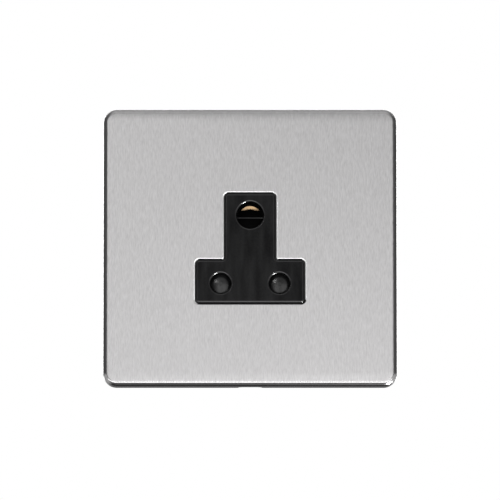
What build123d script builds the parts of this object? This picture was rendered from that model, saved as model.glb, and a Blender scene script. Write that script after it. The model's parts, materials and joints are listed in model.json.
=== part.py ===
"""Round pin wall socket: three shuttered round pin holes behind a clip-on steel plate.

The origin is on the wall, midway between the two box screws. X runs right, Z up, and the room is at -Y.
Sizes are in mm. A level is a height out of the wall towards the room, so it is below zero inside the wall.
"""
import math
import os

from build123d import *

os.makedirs("parts", exist_ok=True)

# Standard sizes: the plug's pins and the wall box's screws
PIN_SPACING = 19.05
EARTH_OFFSET = 22.23
LIVE_PIN_R = 2.54
EARTH_PIN_R = 3.53
BOX_SCREW_SPACING = 60.3
BOX_HOLE_R = 2.1

# Pin holes in the insert
EARTH_Z = 10.42
HOLE_PLAY = 0.79
HOLE_MOUTH_R = 0.52
LIVE_X = PIN_SPACING / 2
LIVE_Z = EARTH_Z - EARTH_OFFSET
LIVE_AT = [(-LIVE_X, LIVE_Z), (LIVE_X, LIVE_Z)]
LIVE_HOLE_R = LIVE_PIN_R + HOLE_PLAY
EARTH_HOLE_R = EARTH_PIN_R + HOLE_PLAY

# Front plate
PLATE_W = 95.0
PLATE_H = 90.0
PLATE_LEVEL = 7.5
PLATE_SHEET = 1.0
PLATE_CORNER_R = 4.3
PLATE_EDGE_R = 1.6
APERTURE_GAP = 0.3
APERTURE_EDGE_R = 0.45
PRY_W = 8.0
PRY_H = 2.0
PLATE_BACK = PLATE_LEVEL - PLATE_SHEET

# Insert: the T shaped boss that fills the plate's aperture
INSERT_PROUD = 0.3
INSERT_ABOVE_EARTH = 7.05
INSERT_ABOVE_LIVE = 7.58
INSERT_BELOW_LIVE = 6.37
INSERT_BESIDE_LIVE = 8.03
INSERT_STEM_W = 16.45
INSERT_OUTER_R = 1.1
INSERT_INNER_R = 0.9
INSERT_EDGE_R = 0.65
INSERT_LEVEL = PLATE_LEVEL + INSERT_PROUD
INSERT_TOP = EARTH_Z + INSERT_ABOVE_EARTH
INSERT_BAR_TOP = LIVE_Z + INSERT_ABOVE_LIVE
INSERT_BOTTOM = LIVE_Z - INSERT_BELOW_LIVE
INSERT_BAR_W = PIN_SPACING + 2 * INSERT_BESIDE_LIVE

# Socket front moulding behind the boss
FLANGE_GAP = 0.3
FLANGE_T = 2.0
FLANGE_CORNER_R = 3.0
FRONT_WALL = 2.6
RIB = 1.5
SKIRT_WALL = 1.5
SKIRT_CORNER_R = 2.0
FLANGE_LEVEL = PLATE_BACK - FLANGE_GAP
FRAME_LEVEL = FLANGE_LEVEL - FLANGE_T
POCKET_LEVEL = INSERT_LEVEL - FRONT_WALL

# Mounting frame
FRAME_GAP = 3.5
FRAME_SHEET = 1.2
FRAME_CORNER_R = 3.5
FRAME_EDGE_R = 1.7
DISH_R = 4.8
BEAD_L = 18.0
BEAD_W = 3.0
BEAD_H = 0.6
BEAD_TO_SIDE = 23.0
FRAME_W = PLATE_W - 2 * PLATE_SHEET - 2 * FRAME_GAP
FRAME_H = PLATE_H - 2 * PLATE_SHEET - 2 * FRAME_GAP
WEB_BACK = FRAME_LEVEL - FRAME_SHEET
BOX_SCREW_AT = [(-BOX_SCREW_SPACING / 2, 0), (BOX_SCREW_SPACING / 2, 0)]

# Plate clips
CLIP_TO_SIDE = 7.0
CLIP_TO_END = 10.5
CLIP_W = 6.0
CLIP_SHEET = 0.5
CLIP_FOOT = 6.0
CLIP_REACH = 1.8
CLIP_BARB = 0.6
CLIP_SLOT_W = 1.5
CLIP_PLAY = 0.2
CLIP_X = FRAME_W / 2 - CLIP_TO_SIDE
CLIP_Z = FRAME_H / 2 - CLIP_TO_END

# Shutter
SHUTTER_T = 2.0
SHUTTER_PLAY = 0.2
SHUTTER_SIDE_PLAY = 0.3
TRAVEL_SPARE = 0.17
BAR_T = 1.6
BAR_BESIDE_HOLE = 1.145
BAR_ABOVE_PIN = 3.6
BAR_BELOW_HOLE = 0.37
STEM_BESIDE_HOLE = 0.18
RAMP_ABOVE_PIN = 2.7
RAMP_DEPTH = 6.9
RAMP_TIP = 0.8
RAMP_LEDGE = 0.3
RAMP_WALL = 3.4
DOME_R = 3.45
SHUTTER_TRAVEL = RAMP_ABOVE_PIN + EARTH_PIN_R + TRAVEL_SPARE
SHUTTER_FRONT = POCKET_LEVEL - SHUTTER_PLAY
SHUTTER_BACK = SHUTTER_FRONT - SHUTTER_T
BAR_W = PIN_SPACING + 2 * (LIVE_HOLE_R + BAR_BESIDE_HOLE)
BAR_TOP = LIVE_Z + BAR_ABOVE_PIN
BAR_BOTTOM = LIVE_Z - LIVE_HOLE_R - BAR_BELOW_HOLE
STEM_W = 2 * (EARTH_HOLE_R + STEM_BESIDE_HOLE)
RAMP_TOP = EARTH_Z + RAMP_ABOVE_PIN
RAMP_FOOT = RAMP_TOP - RAMP_DEPTH
RAMP_BACK = SHUTTER_FRONT - RAMP_DEPTH
RAMP_HEEL = RAMP_FOOT - RAMP_WALL + SHUTTER_T
LEDGE_LEVEL = SHUTTER_FRONT - (EARTH_Z - RAMP_LEDGE - RAMP_FOOT)

# Pocket that the shutter slides in
POCKET_END_PLAY = 0.37
POCKET_FLOOR = BAR_BOTTOM - SHUTTER_TRAVEL - POCKET_END_PLAY

# Shutter spring
SPRING_R = 0.9
SPRING_WIRE_R = 0.16
SPRING_TURNS = 11
SPRING_ABOVE_BAR = 3.8
SPRING_SLOT_W = 2.8
SPRING_TOP = BAR_TOP + SPRING_ABOVE_BAR

# Shutter retainer and its screws
RETAINER_T = 1.5
RETAINER_PLAY = 0.4
RETAINER_CORNER_R = 1.0
RETAINER_SLOT_PLAY = 0.7
GUIDE_PLAY = 0.17
RETAINER_SCREW_R = 0.9
RETAINER_SCREW_PLAY = 0.3
RETAINER_SCREW_HEAD_R = 2.0
RETAINER_SCREW_HEAD = 1.2
RETAINER_SCREW_GRIP = 2.4
RETAINER_SCREW_CROSS = 0.6
RETAINER_SCREW_ASIDE = 2.6
RETAINER_SCREW_BELOW_EARTH = 1.9
RETAINER_BOSS_R = 2.6
RETAINER_LEVEL = SHUTTER_BACK - SHUTTER_PLAY
RETAINER_BACK = RETAINER_LEVEL - RETAINER_T
RETAINER_SCREW_X = STEM_W / 2 + SHUTTER_SIDE_PLAY + RIB + RETAINER_BOSS_R + RETAINER_SCREW_ASIDE
RETAINER_SCREW_Z = EARTH_Z - RETAINER_SCREW_BELOW_EARTH
RETAINER_SCREW_AT = [(-RETAINER_SCREW_X, RETAINER_SCREW_Z), (RETAINER_SCREW_X, RETAINER_SCREW_Z)]
RETAINER_SCREW_END = RETAINER_LEVEL + RETAINER_SCREW_GRIP
GUIDE_TAPER = math.degrees(math.atan2(EARTH_HOLE_R - EARTH_PIN_R - GUIDE_PLAY, RETAINER_T))

# Base moulding's outline, between the dished screw seats, and the skirt and window that it surrounds
BASE_TO_DISH = 0.65
BASE_WALL = 2.0
BASE_FLOOR_T = 2.2
BASE_CORNER_R = 3.0
BASE_EDGE_R = 1.2
SKIRT_PLAY = 0.3
SKIRT_BELOW_POCKET = 1.2
SKIRT_PAST_RETAINER = 0.3
FLANGE_TO_DISH = 0.35
BASE_W = BOX_SCREW_SPACING - 2 * (DISH_R + FRAME_SHEET + BASE_TO_DISH)
SKIRT_W = BASE_W - 2 * BASE_WALL - 2 * SKIRT_PLAY
SKIRT_H = 2 * (SKIRT_BELOW_POCKET + SKIRT_WALL - POCKET_FLOOR)
SKIRT_LEVEL = RETAINER_BACK - SKIRT_PAST_RETAINER
WINDOW_W = SKIRT_W + 2 * SKIRT_PLAY
WINDOW_H = SKIRT_H + 2 * SKIRT_PLAY
FLANGE_W = BOX_SCREW_SPACING - 2 * (DISH_R + FLANGE_TO_DISH)

# Assembly screws
ASSEMBLY_R = 1.25
ASSEMBLY_HEAD_R = 2.75
ASSEMBLY_PLAY = 0.45
ASSEMBLY_GRIP = 7.0
ASSEMBLY_TO_WINDOW = 1.4
ASSEMBLY_BOSS_R = 3.0
ASSEMBLY_BOSS_FLOOR = 2.0
ASSEMBLY_BOSS_COVER = 0.4
ASSEMBLY_TO_SIDE = 6.5
ASSEMBLY_CROSS_L = 3.2
ASSEMBLY_CROSS_W = 0.7
ASSEMBLY_CROSS_D = 1.0
FLANGE_PAST_SCREW = 0.65
ASSEMBLY_CLEAR_R = ASSEMBLY_R + ASSEMBLY_PLAY
ASSEMBLY_X = BASE_W / 2 - ASSEMBLY_TO_SIDE
ASSEMBLY_Z = WINDOW_H / 2 + ASSEMBLY_CLEAR_R + ASSEMBLY_TO_WINDOW
ASSEMBLY_AT = [(x, z) for x in (-ASSEMBLY_X, ASSEMBLY_X) for z in (-ASSEMBLY_Z, ASSEMBLY_Z)]
ASSEMBLY_END = WEB_BACK - ASSEMBLY_GRIP
BASE_H = 2 * (ASSEMBLY_Z + ASSEMBLY_BOSS_R + ASSEMBLY_BOSS_COVER)
FLANGE_H = 2 * (ASSEMBLY_Z + ASSEMBLY_HEAD_R + FLANGE_PAST_SCREW)

# Bare web between the flange and the frame's rim, where the beads and the strap's rivet are
WEB_END = FRAME_H / 2 - FRAME_EDGE_R
WEB_MIDDLE = (FLANGE_H / 2 + WEB_END) / 2
BEAD_X = FRAME_W / 2 - BEAD_TO_SIDE
BEAD_AT = [(x, z) for x in (-BEAD_X, BEAD_X) for z in (-WEB_MIDDLE, WEB_MIDDLE)]

# Contacts
CONTACT_T = 0.73
CONTACT_PLAY = 0.03
CONTACT_SLIT = 1.0
STRIP_T = 0.8
SLIT_ROOT = 0.8
MOUTH_GAP = 0.5
MOUTH_L = 0.8
MOUTH_FLARE = 0.55
LIVE_SLEEVE_L = 5.2
EARTH_SLEEVE_L = 6.5
EARTH_DISH_R = 5.2
EARTH_DISH = 0.3
STRIP_BESIDE_SLEEVE = 1.4
EARTH_STRIP_BESIDE_SLEEVE = 2.2
LIVE_BORE_R = LIVE_PIN_R + CONTACT_PLAY
EARTH_BORE_R = EARTH_PIN_R + CONTACT_PLAY
LIVE_SLEEVE_R = LIVE_BORE_R + CONTACT_T
EARTH_SLEEVE_R = EARTH_BORE_R + CONTACT_T
LIVE_STRIP_R = LIVE_SLEEVE_R + STRIP_BESIDE_SLEEVE
EARTH_STRIP_R = EARTH_SLEEVE_R + EARTH_STRIP_BESIDE_SLEEVE
MOUTH_END = RETAINER_BACK - MOUTH_GAP
LIVE_SLEEVE_END = MOUTH_END - MOUTH_L
STRIP_LEVEL = LIVE_SLEEVE_END - LIVE_SLEEVE_L
STRIP_BACK = STRIP_LEVEL - STRIP_T
EARTH_SLEEVE_END = STRIP_BACK - EARTH_SLEEVE_L

# Contact springs
RING_T = 0.45
RING_W = 1.8
RING_GAP = 3.0
LIVE_RING_LEVEL = LIVE_SLEEVE_END - (LIVE_SLEEVE_L + RING_W) / 2
EARTH_RING_LEVEL = STRIP_BACK - (EARTH_SLEEVE_L + RING_W) / 2

# Terminals
BLOCK = 8.0
BLOCK_D = 9.0
BLOCK_CHAMFER = 0.4
BLOCK_FRONT_WALL = 1.5
WIRE_BORE_R = 2.3
WIRE_ENTRY_PLAY = 0.9
WIRE_ENTRY_CHAMFER = 0.6
SPIGOT_R = 1.5
SPIGOT_PLAY = 0.05
SPIGOT_HEAD_R = 2.2
SPIGOT_HEAD = 0.5
LIVE_TAIL_X = 4.5
LIVE_TAIL_Z = 8.7
EARTH_TAIL_Z = 11.1
LINE_TERMINAL = (LIVE_X + LIVE_TAIL_X, LIVE_Z - LIVE_TAIL_Z)
NEUTRAL_TERMINAL = (-LINE_TERMINAL[0], LINE_TERMINAL[1])
EARTH_TERMINAL = (0.0, EARTH_Z + EARTH_TAIL_Z)
TERMINAL_AT = [NEUTRAL_TERMINAL, LINE_TERMINAL, EARTH_TERMINAL]
BLOCK_BACK = STRIP_BACK - BLOCK_D
WIRE_LEVEL = STRIP_BACK - BLOCK_FRONT_WALL - WIRE_BORE_R
WIRE_ENTRY_R = WIRE_BORE_R + WIRE_ENTRY_PLAY

# Inside and back of the base moulding
BLOCK_GAP = 0.2
BLOCK_POCKET_PLAY = 0.15
REST_WALL = 1.2
REST_SINK = 0.3
REST_PLAY = 0.4
LIVE_REST_L = 5.0
EARTH_REST_L = 7.0
BARRIER = 1.5
BARRIER_TO_SLEEVE = 4.0
BARRIER_BELOW_SKIRT = 2.0
BACK_RIM = 3.5
BACK_RECESS = 0.8
BACK_RECESS_R = 2.5
WELL_COLLAR = 1.2
BASE_FLOOR = BLOCK_BACK - BLOCK_GAP
BASE_BACK = BASE_FLOOR - BASE_FLOOR_T
BLOCK_POCKET = BLOCK + 2 * BLOCK_POCKET_PLAY
BLOCK_POCKET_LEVEL = WIRE_LEVEL - WIRE_BORE_R - REST_SINK
LIVE_REST_X = LIVE_BORE_R + REST_PLAY + REST_WALL / 2
EARTH_REST_X = EARTH_SLEEVE_R + RING_T + REST_PLAY + REST_WALL / 2
BARRIER_TOP = LIVE_Z + LIVE_STRIP_R + BARRIER_TO_SLEEVE
BARRIER_LEVEL = SKIRT_LEVEL - BARRIER_BELOW_SKIRT

# Terminal screws
SCREW_R = 1.75
SCREW_PLAY = 0.05
SCREW_BACKED_OFF = 0.2
SCREW_HEAD_R = 2.75
SCREW_HEAD_GAP = 0.1
SCREW_HEAD_SUNK = 0.4
SCREW_HEAD_CHAMFER = 0.25
SCREW_SLOT = 0.8
SCREW_SLOT_D = 0.9
SCREW_WELL_PLAY = 0.45
SCREW_END = WIRE_LEVEL - WIRE_BORE_R - SCREW_BACKED_OFF
SCREW_HEAD_LEVEL = BLOCK_BACK - SCREW_HEAD_GAP
SCREW_HEAD_BACK = BASE_BACK + SCREW_HEAD_SUNK
SCREW_WELL_R = SCREW_HEAD_R + SCREW_WELL_PLAY

# Earth strap and rivet
STRAP_T = 0.5
STRAP_W = 6.0
STRAP_BEND_R = 0.9
STRAP_PLAY = 0.2
STRAP_BEFORE_SPIGOT = 3.5
STRAP_TO_RIM = 0.2
RIVET_R = 1.0
RIVET_HEAD_R = 1.5
RIVET_HEAD = 0.8
STRAP_RISE = BASE_H / 2 - BASE_WALL - STRAP_PLAY
STRAP_START = EARTH_TERMINAL[1] - STRAP_BEFORE_SPIGOT
STRAP_END = WEB_END - STRAP_TO_RIM

# How near two places count as one when corners are picked
SAME_PLACE = 0.01


def level(height):
    """Drawing plane parallel to the wall, seen from the room."""
    return Plane.XZ.offset(height)


def on_bar_shoulder(v):
    """True for the insert's two inner corners, where the stem meets the bar."""
    return abs(v.Y - INSERT_BAR_TOP) < SAME_PLACE and abs(v.X) < INSERT_STEM_W / 2 + SAME_PLACE


# Outline of the insert, drawn once for the boss and the plate's aperture
with BuildSketch(Plane.XZ) as insert_outline:
    with BuildLine():
        Polyline(
            (-INSERT_STEM_W / 2, INSERT_TOP),
            (INSERT_STEM_W / 2, INSERT_TOP),
            (INSERT_STEM_W / 2, INSERT_BAR_TOP),
            (INSERT_BAR_W / 2, INSERT_BAR_TOP),
            (INSERT_BAR_W / 2, INSERT_BOTTOM),
            (-INSERT_BAR_W / 2, INSERT_BOTTOM),
            (-INSERT_BAR_W / 2, INSERT_BAR_TOP),
            (-INSERT_STEM_W / 2, INSERT_BAR_TOP),
            close=True,
        )
    make_face()
    fillet(insert_outline.vertices().filter_by(on_bar_shoulder, reverse=True), INSERT_OUTER_R)
    fillet(insert_outline.vertices().filter_by(on_bar_shoulder), INSERT_INNER_R)

# Outline of the shutter's pocket: room for the bar below and the stem above, up to the earth hole
with BuildSketch(Plane.XZ) as shutter_pocket:
    with Locations((0, POCKET_FLOOR)):
        Rectangle(BAR_W + 2 * SHUTTER_SIDE_PLAY, BAR_TOP - POCKET_FLOOR, align=(Align.CENTER, Align.MIN))
        Rectangle(STEM_W + 2 * SHUTTER_SIDE_PLAY, EARTH_Z - POCKET_FLOOR, align=(Align.CENTER, Align.MIN))
    with Locations((0, EARTH_Z)):
        Circle(EARTH_HOLE_R)

# Front plate: a drawn pan with rolled edges, the aperture and a pry notch in the lower rim
with BuildPart() as front_plate:
    with BuildSketch(level(0)):
        RectangleRounded(PLATE_W, PLATE_H, PLATE_CORNER_R)
    extrude(amount=PLATE_LEVEL)
    fillet(front_plate.faces().sort_by(Axis.Y)[0].edges(), PLATE_EDGE_R)
    offset(amount=-PLATE_SHEET, openings=front_plate.faces().sort_by(Axis.Y)[-1])
    with BuildSketch(level(PLATE_LEVEL)):
        add(insert_outline.sketch_local)
        offset(amount=APERTURE_GAP)
    extrude(amount=-2 * PLATE_SHEET, mode=Mode.SUBTRACT)
    fillet(front_plate.faces().sort_by(Axis.Y)[0].inner_wires()[0].edges(), APERTURE_EDGE_R)
    with BuildSketch(Plane.XY.offset(-PLATE_H / 2)):
        SlotOverall(PRY_W, 2 * PRY_H)
    extrude(amount=PLATE_SHEET, mode=Mode.SUBTRACT)
front_plate.part.label = "front_plate"
export_step(front_plate.part, "parts/front_plate.step")

# Plate clips: foot welded to the plate, leg through the frame's slot, barb behind the web
with BuildPart() as plate_clips:
    with BuildSketch(Plane.XY.offset(CLIP_Z - CLIP_W / 2)):
        with BuildLine():
            Polyline(
                (CLIP_X - CLIP_FOOT, -PLATE_BACK),
                (CLIP_X + CLIP_SHEET, -PLATE_BACK),
                (CLIP_X + CLIP_SHEET, CLIP_PLAY - WEB_BACK),
                (CLIP_X + CLIP_SHEET + CLIP_BARB, CLIP_PLAY - WEB_BACK),
                (CLIP_X + CLIP_SHEET, CLIP_REACH - WEB_BACK),
                (CLIP_X, CLIP_REACH - WEB_BACK),
                (CLIP_X, CLIP_SHEET - PLATE_BACK),
                (CLIP_X - CLIP_FOOT, CLIP_SHEET - PLATE_BACK),
                close=True,
            )
        make_face()
    extrude(amount=CLIP_W)
    mirror(about=Plane.YZ)
    mirror(about=Plane.XY)
plate_clips.part.label = "plate_clips"
export_step(plate_clips.part, "parts/plate_clips.step")

# Mounting frame: a pressed tray with a window, stiffening beads and two dished screw seats on the wall
with BuildPart() as mounting_frame:
    with BuildSketch(level(0)):
        RectangleRounded(FRAME_W, FRAME_H, FRAME_CORNER_R)
    extrude(amount=FRAME_LEVEL)
    fillet(mounting_frame.faces().sort_by(Axis.Y)[0].edges(), FRAME_EDGE_R)
    offset(amount=-FRAME_SHEET, openings=mounting_frame.faces().sort_by(Axis.Y)[-1])
    with BuildSketch(level(0)):
        with Locations(*BOX_SCREW_AT):
            Circle(DISH_R + FRAME_SHEET)
    extrude(amount=FRAME_LEVEL)
    with BuildSketch(level(FRAME_SHEET)):
        with Locations(*BOX_SCREW_AT):
            Circle(DISH_R)
    extrude(amount=FRAME_LEVEL, mode=Mode.SUBTRACT)
    dish_rims = mounting_frame.faces().sort_by(Axis.Y)[0].inner_wires()
    fillet([e for w in dish_rims for e in w.edges()], FRAME_SHEET / 2)
    with BuildSketch(level(FRAME_LEVEL)):
        with Locations(*BEAD_AT):
            SlotOverall(BEAD_L, BEAD_W)
    extrude(amount=BEAD_H)
    fillet(mounting_frame.faces().group_by(Axis.Y)[0].edges(), BEAD_H / 2)
    with BuildSketch(level(WEB_BACK)):
        with Locations(*BEAD_AT):
            SlotOverall(BEAD_L - FRAME_SHEET, BEAD_W - FRAME_SHEET)
    extrude(amount=BEAD_H, mode=Mode.SUBTRACT)
    with BuildSketch(level(0)):
        RectangleRounded(WINDOW_W, WINDOW_H, SKIRT_CORNER_R)
        with Locations(*BOX_SCREW_AT):
            Circle(BOX_HOLE_R)
        with Locations(*ASSEMBLY_AT):
            Circle(ASSEMBLY_CLEAR_R)
        with Locations((0, WEB_MIDDLE)):
            Circle(RIVET_R)
        slot_x = CLIP_X + CLIP_SHEET + CLIP_PLAY - CLIP_SLOT_W / 2
        with GridLocations(2 * slot_x, 2 * CLIP_Z, 2, 2):
            Rectangle(CLIP_SLOT_W, CLIP_W + 2 * CLIP_PLAY)
    extrude(amount=FRAME_LEVEL, mode=Mode.SUBTRACT)
mounting_frame.part.label = "mounting_frame"
export_step(mounting_frame.part, "parts/mounting_frame.step")

# Socket front: flange on the frame, T boss, skirt through the window and the shutter's pocket
with BuildPart() as socket_front:
    with BuildSketch(level(FLANGE_LEVEL)):
        add(insert_outline.sketch_local)
    extrude(amount=INSERT_LEVEL - FLANGE_LEVEL)
    fillet(socket_front.faces().sort_by(Axis.Y)[0].edges(), INSERT_EDGE_R)
    with BuildSketch(level(FRAME_LEVEL)):
        RectangleRounded(FLANGE_W, FLANGE_H, FLANGE_CORNER_R)
    extrude(amount=FLANGE_T)
    with BuildSketch(level(SKIRT_LEVEL)):
        RectangleRounded(SKIRT_W, SKIRT_H, SKIRT_CORNER_R)
        Rectangle(SKIRT_W - 2 * SKIRT_WALL, SKIRT_H - 2 * SKIRT_WALL, mode=Mode.SUBTRACT)
    extrude(amount=FRAME_LEVEL - SKIRT_LEVEL)
    with BuildSketch(level(RETAINER_LEVEL)):
        add(shutter_pocket.sketch_local)
        offset(amount=RIB, kind=Kind.INTERSECTION)
        Rectangle(SKIRT_W - SKIRT_WALL, SKIRT_H - SKIRT_WALL, mode=Mode.INTERSECT)
        with Locations(*RETAINER_SCREW_AT):
            Circle(RETAINER_BOSS_R)
    extrude(amount=FRAME_LEVEL - RETAINER_LEVEL)
    with BuildSketch(level(RETAINER_LEVEL)):
        add(shutter_pocket.sketch_local)
    extrude(amount=POCKET_LEVEL - RETAINER_LEVEL, mode=Mode.SUBTRACT)
    with BuildSketch(level(RETAINER_LEVEL)):
        with Locations((0, EARTH_Z)):
            Circle(EARTH_HOLE_R)
        with Locations(*LIVE_AT):
            Circle(LIVE_HOLE_R)
    extrude(amount=INSERT_LEVEL - RETAINER_LEVEL, mode=Mode.SUBTRACT)
    hole_mouths = socket_front.faces().sort_by(Axis.Y)[0].inner_wires()
    fillet([e for w in hole_mouths for e in w.edges()], HOLE_MOUTH_R)
    with BuildSketch(level(RETAINER_LEVEL)):
        with Locations(*RETAINER_SCREW_AT):
            Circle(RETAINER_SCREW_R)
    extrude(amount=RETAINER_SCREW_END - RETAINER_LEVEL, mode=Mode.SUBTRACT)
    with BuildSketch(level(FRAME_LEVEL)):
        with Locations(*ASSEMBLY_AT):
            Circle(ASSEMBLY_CLEAR_R)
    extrude(amount=FLANGE_T, mode=Mode.SUBTRACT)
    with BuildSketch(level(FLANGE_LEVEL)):
        with Locations(*ASSEMBLY_AT):
            Circle(ASSEMBLY_HEAD_R)
    extrude(amount=ASSEMBLY_R - ASSEMBLY_HEAD_R, taper=45, mode=Mode.SUBTRACT)
socket_front.part.label = "socket_front"
export_step(socket_front.part, "parts/socket_front.step")

# Shutter: bar with two domed pads, stem with the spring's slot, ledged ramp behind the earth hole
with BuildPart() as shutter:
    with BuildSketch(level(SHUTTER_BACK)):
        with Locations((0, BAR_BOTTOM)):
            Rectangle(BAR_W, BAR_TOP - BAR_BOTTOM, align=(Align.CENTER, Align.MIN))
    extrude(amount=BAR_T)
    dome_h = SHUTTER_T - BAR_T
    dome_ball_r = (DOME_R**2 + dome_h**2) / (2 * dome_h)
    with BuildSketch(Plane.YZ.offset(LIVE_X)):
        with BuildLine():
            Line((-SHUTTER_FRONT, LIVE_Z), (dome_h - SHUTTER_FRONT, LIVE_Z))
            Line((dome_h - SHUTTER_FRONT, LIVE_Z), (dome_h - SHUTTER_FRONT, LIVE_Z + DOME_R))
            RadiusArc((dome_h - SHUTTER_FRONT, LIVE_Z + DOME_R), (-SHUTTER_FRONT, LIVE_Z), -dome_ball_r)
        make_face()
    revolve(axis=Axis((LIVE_X, 0, LIVE_Z), (0, 1, 0)))
    mirror(about=Plane.YZ)
    with BuildSketch(Plane.YZ.offset(-STEM_W / 2)):
        with BuildLine():
            Polyline(
                (-SHUTTER_FRONT, BAR_BOTTOM),
                (-SHUTTER_FRONT, RAMP_FOOT),
                (-LEDGE_LEVEL, EARTH_Z - RAMP_LEDGE),
                (-LEDGE_LEVEL, EARTH_Z),
                (-RAMP_BACK, RAMP_TOP),
                (-RAMP_BACK + RAMP_TIP, RAMP_TOP),
                (-RAMP_BACK + RAMP_TIP, RAMP_TOP - RAMP_WALL + RAMP_TIP),
                (-SHUTTER_BACK, RAMP_HEEL),
                (-SHUTTER_BACK, BAR_BOTTOM),
                close=True,
            )
        make_face()
    extrude(amount=STEM_W)
    with BuildSketch(level(SHUTTER_BACK)):
        with Locations((0, BAR_BOTTOM)):
            Rectangle(SPRING_SLOT_W, SPRING_TOP - BAR_BOTTOM, align=(Align.CENTER, Align.MIN))
    extrude(amount=SHUTTER_T, mode=Mode.SUBTRACT)
shutter.part.label = "shutter"
export_step(shutter.part, "parts/shutter.step")

# Shutter spring: a coil in the stem's slot, standing on the pocket's floor
with BuildPart() as shutter_spring:
    spring_h = SPRING_TOP - POCKET_FLOOR - 2 * SPRING_WIRE_R
    spring_y = -(POCKET_LEVEL + RETAINER_LEVEL) / 2
    with BuildLine() as coil:
        Helix(
            pitch=spring_h / SPRING_TURNS,
            height=spring_h,
            radius=SPRING_R,
            center=(0, spring_y, POCKET_FLOOR + SPRING_WIRE_R),
        )
    with BuildSketch(Plane(origin=coil.line @ 0, z_dir=coil.line % 0)):
        Circle(SPRING_WIRE_R)
    sweep()
shutter_spring.part.label = "shutter_spring"
export_step(shutter_spring.part, "parts/shutter_spring.step")

# Shutter retainer: cover of the pocket, with ways for the pins and the ramp and a funnel for the earth pin
with BuildPart() as shutter_retainer:
    with BuildSketch(level(RETAINER_BACK)):
        RectangleRounded(
            SKIRT_W - 2 * SKIRT_WALL - 2 * RETAINER_PLAY,
            SKIRT_H - 2 * SKIRT_WALL - 2 * RETAINER_PLAY,
            RETAINER_CORNER_R,
        )
        with Locations(*LIVE_AT):
            Circle(LIVE_HOLE_R, mode=Mode.SUBTRACT)
        with Locations((0, EARTH_Z)):
            Rectangle(
                STEM_W + 2 * RETAINER_SLOT_PLAY,
                EARTH_Z - RAMP_HEEL + SHUTTER_TRAVEL + RETAINER_SLOT_PLAY,
                align=(Align.CENTER, Align.MAX),
                mode=Mode.SUBTRACT,
            )
        with Locations(*RETAINER_SCREW_AT):
            Circle(RETAINER_SCREW_R + RETAINER_SCREW_PLAY, mode=Mode.SUBTRACT)
    extrude(amount=RETAINER_T)
    with BuildSketch(level(RETAINER_LEVEL)):
        with Locations((0, EARTH_Z)):
            Circle(EARTH_HOLE_R)
    extrude(amount=-RETAINER_T, taper=GUIDE_TAPER, mode=Mode.SUBTRACT)
shutter_retainer.part.label = "shutter_retainer"
export_step(shutter_retainer.part, "parts/shutter_retainer.step")

# Retainer screws: small cross-headed screws behind the retainer
with BuildPart() as retainer_screws:
    with BuildSketch(level(RETAINER_BACK)):
        with Locations(*RETAINER_SCREW_AT):
            Circle(RETAINER_SCREW_HEAD_R)
    extrude(amount=-RETAINER_SCREW_HEAD)
    fillet(retainer_screws.faces().group_by(Axis.Y)[-1].edges(), RETAINER_SCREW_HEAD / 2)
    with BuildSketch(level(RETAINER_BACK)):
        with Locations(*RETAINER_SCREW_AT):
            Circle(RETAINER_SCREW_R)
    extrude(amount=RETAINER_SCREW_END - RETAINER_BACK)
    with BuildSketch(level(RETAINER_BACK - RETAINER_SCREW_HEAD)):
        with Locations(*RETAINER_SCREW_AT):
            Rectangle(RETAINER_SCREW_HEAD_R, RETAINER_SCREW_CROSS)
            Rectangle(RETAINER_SCREW_CROSS, RETAINER_SCREW_HEAD_R)
    extrude(amount=RETAINER_SCREW_HEAD / 2, mode=Mode.SUBTRACT)
retainer_screws.part.label = "retainer_screws"
export_step(retainer_screws.part, "parts/retainer_screws.step")

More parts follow.
